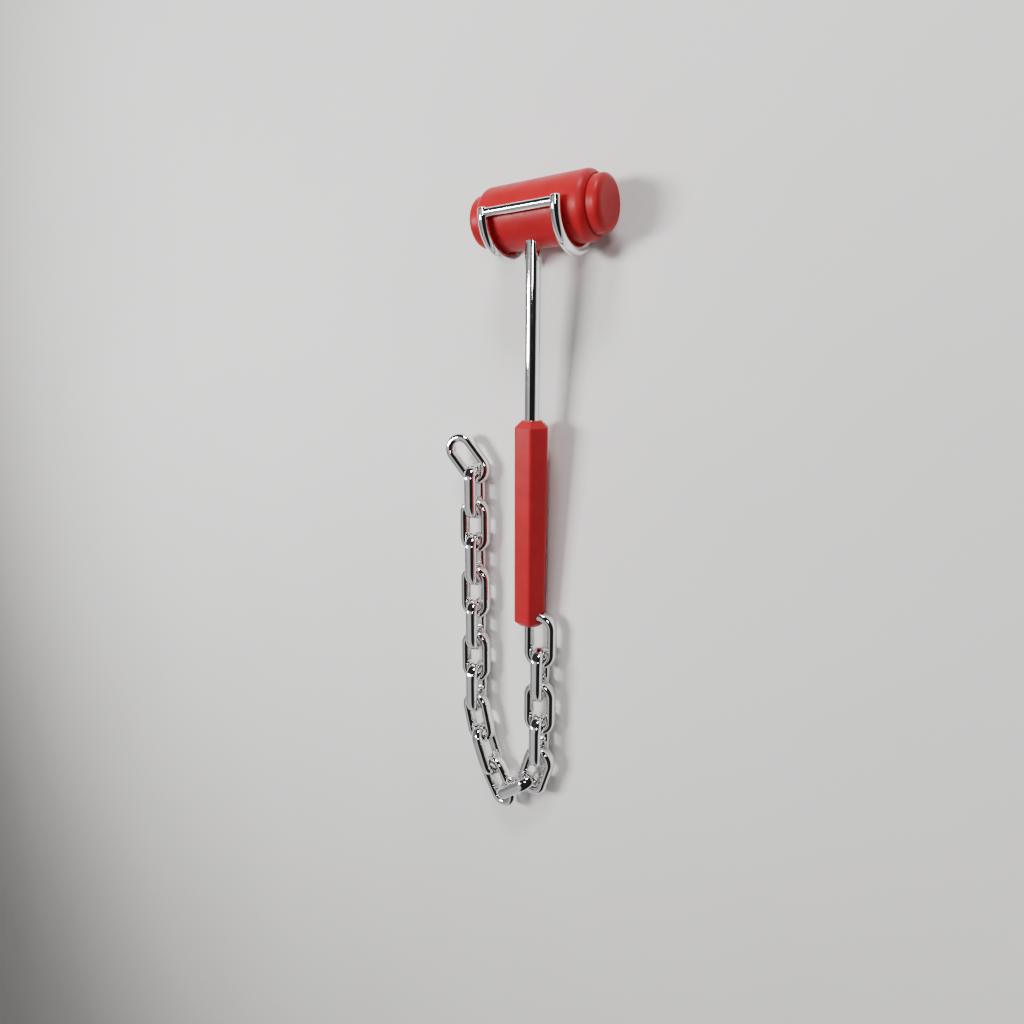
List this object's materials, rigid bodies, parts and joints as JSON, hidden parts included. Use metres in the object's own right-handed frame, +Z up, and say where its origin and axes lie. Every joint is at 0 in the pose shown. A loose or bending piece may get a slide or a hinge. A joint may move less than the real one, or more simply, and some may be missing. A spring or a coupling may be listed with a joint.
{
  "type": "reflex hammer",
  "caption": "Medical reflex hammer: cylindrical rubber head in a wire cradle, round steel shaft, hexagonal grip and a wrist chain of oval links, lying on its back.",
  "frame": {"origin": "on the surface the hammer lies on, under the middle of the whole part's bounding box", "axes": "+Y along the shaft from the grip to the head, as seen from above; +X along the head, towards its right end with the grip nearest the viewer; +Z up from the surface"},
  "size_m": [0.0794, 0.2802, 0.0323],
  "materials": {
    "head_rubber": "smooth satin red rubber",
    "grip_red": "satin red coating with a fine grain",
    "chrome": "polished chrome plate",
    "core_steel": "turned steel, inside the rubber"
  },
  "bodies": {
    "hammer": {"head_body": "head_rubber", "head_core": "core_steel", "striker_left": "head_rubber", "striker_right": "head_rubber", "cradle_hoop_left": "chrome", "cradle_hoop_right": "chrome", "cradle_bar_front": "chrome", "cradle_bar_rear": "chrome", "shaft": "chrome", "grip": "grip_red"},
    "link_01": {"chain_link_01": "chrome"},
    "link_02": {"chain_link_02": "chrome"},
    "link_03": {"chain_link_03": "chrome"},
    "link_04": {"chain_link_04": "chrome"},
    "link_05": {"chain_link_05": "chrome"},
    "link_06": {"chain_link_06": "chrome"},
    "link_07": {"chain_link_07": "chrome"},
    "link_08": {"chain_link_08": "chrome"},
    "link_09": {"chain_link_09": "chrome"},
    "link_10": {"chain_link_10": "chrome"},
    "link_11": {"chain_link_11": "chrome"},
    "link_12": {"chain_link_12": "chrome"},
    "link_13": {"chain_link_13": "chrome"},
    "link_14": {"chain_link_14": "chrome"},
    "link_15": {"chain_link_15": "chrome"},
    "link_16": {"chain_link_16": "chrome"},
    "link_17": {"chain_link_17": "chrome"}
  },
  "joints": [
    {"name": "link_01_swing", "type": "hinge", "parent": "hammer", "child": "link_01", "pos_m": [0.01576, -0.04215, 0.00745], "axis": [-0.2076, -0.0109, -0.9781], "range_deg": [-30, 12]},
    {"name": "link_02_pitch", "type": "hinge", "parent": "link_01", "child": "link_02", "pos_m": [0.01664, -0.05888, 0.00745], "axis": [0.9768, 0.0512, -0.2079], "range_deg": [-60, 60]},
    {"name": "link_03_turn", "type": "hinge", "parent": "link_02", "child": "link_03", "pos_m": [0.01749, -0.07516, 0.00745], "axis": [0.2076, 0.0109, 0.9781], "range_deg": [-8, 60]},
    {"name": "link_04_pitch", "type": "hinge", "parent": "link_03", "child": "link_04", "pos_m": [0.01834, -0.09144, 0.00745], "axis": [-0.9889, -0.0518, 0.1392], "range_deg": [-60, 60]},
    {"name": "link_05_turn", "type": "hinge", "parent": "link_04", "child": "link_05", "pos_m": [0.0192, -0.10771, 0.00745], "axis": [0.139, 0.0073, 0.9903], "range_deg": [-6, 60]},
    {"name": "link_06_pitch", "type": "hinge", "parent": "link_05", "child": "link_06", "pos_m": [0.01232, -0.1218, 0.00745], "axis": [0.6561, -0.7547, 0], "range_deg": [-60, 60]},
    {"name": "link_07_turn", "type": "hinge", "parent": "link_06", "child": "link_07", "pos_m": [-0.0002, -0.13235, 0.00745], "axis": [0, 0, 1], "range_deg": [-4, 60]},
    {"name": "link_08_pitch", "type": "hinge", "parent": "link_07", "child": "link_08", "pos_m": [-0.00874, -0.11854, 0.00745], "axis": [0.9063, 0.4226, 0], "range_deg": [-60, 60]},
    {"name": "link_09_turn", "type": "hinge", "parent": "link_08", "child": "link_09", "pos_m": [-0.01556, -0.10372, 0.00745], "axis": [0, 0, 1], "range_deg": [-4, 60]},
    {"name": "link_10_pitch", "type": "hinge", "parent": "link_09", "child": "link_10", "pos_m": [-0.01904, -0.08791, 0.00745], "axis": [-0.9889, -0.0518, 0.1392], "range_deg": [-60, 60]},
    {"name": "link_11_turn", "type": "hinge", "parent": "link_10", "child": "link_11", "pos_m": [-0.01979, -0.07161, 0.00745], "axis": [0.139, 0.0073, 0.9903], "range_deg": [-8, 60]},
    {"name": "link_12_pitch", "type": "hinge", "parent": "link_11", "child": "link_12", "pos_m": [-0.02064, -0.05534, 0.00745], "axis": [0.9768, 0.0512, -0.2079], "range_deg": [-60, 60]},
    {"name": "link_13_turn", "type": "hinge", "parent": "link_12", "child": "link_13", "pos_m": [-0.0215, -0.03906, 0.00745], "axis": [0.2076, 0.0109, 0.9781], "range_deg": [-12, 60]},
    {"name": "link_14_pitch", "type": "hinge", "parent": "link_13", "child": "link_14", "pos_m": [-0.02235, -0.02278, 0.00745], "axis": [-0.9768, -0.0512, 0.2079], "range_deg": [-60, 60]},
    {"name": "link_15_turn", "type": "hinge", "parent": "link_14", "child": "link_15", "pos_m": [-0.0232, -0.0065, 0.00745], "axis": [0.2076, 0.0109, 0.9781], "range_deg": [-30, 60]},
    {"name": "link_16_pitch", "type": "hinge", "parent": "link_15", "child": "link_16", "pos_m": [-0.02405, 0.00978, 0.00745], "axis": [0.9768, 0.0512, -0.2079], "range_deg": [-60, 60]},
    {"name": "link_17_turn", "type": "hinge", "parent": "link_16", "child": "link_17", "pos_m": [-0.02491, 0.02605, 0.00745], "axis": [0.2076, 0.0109, 0.9781], "range_deg": [-101, 19]}
  ]
}
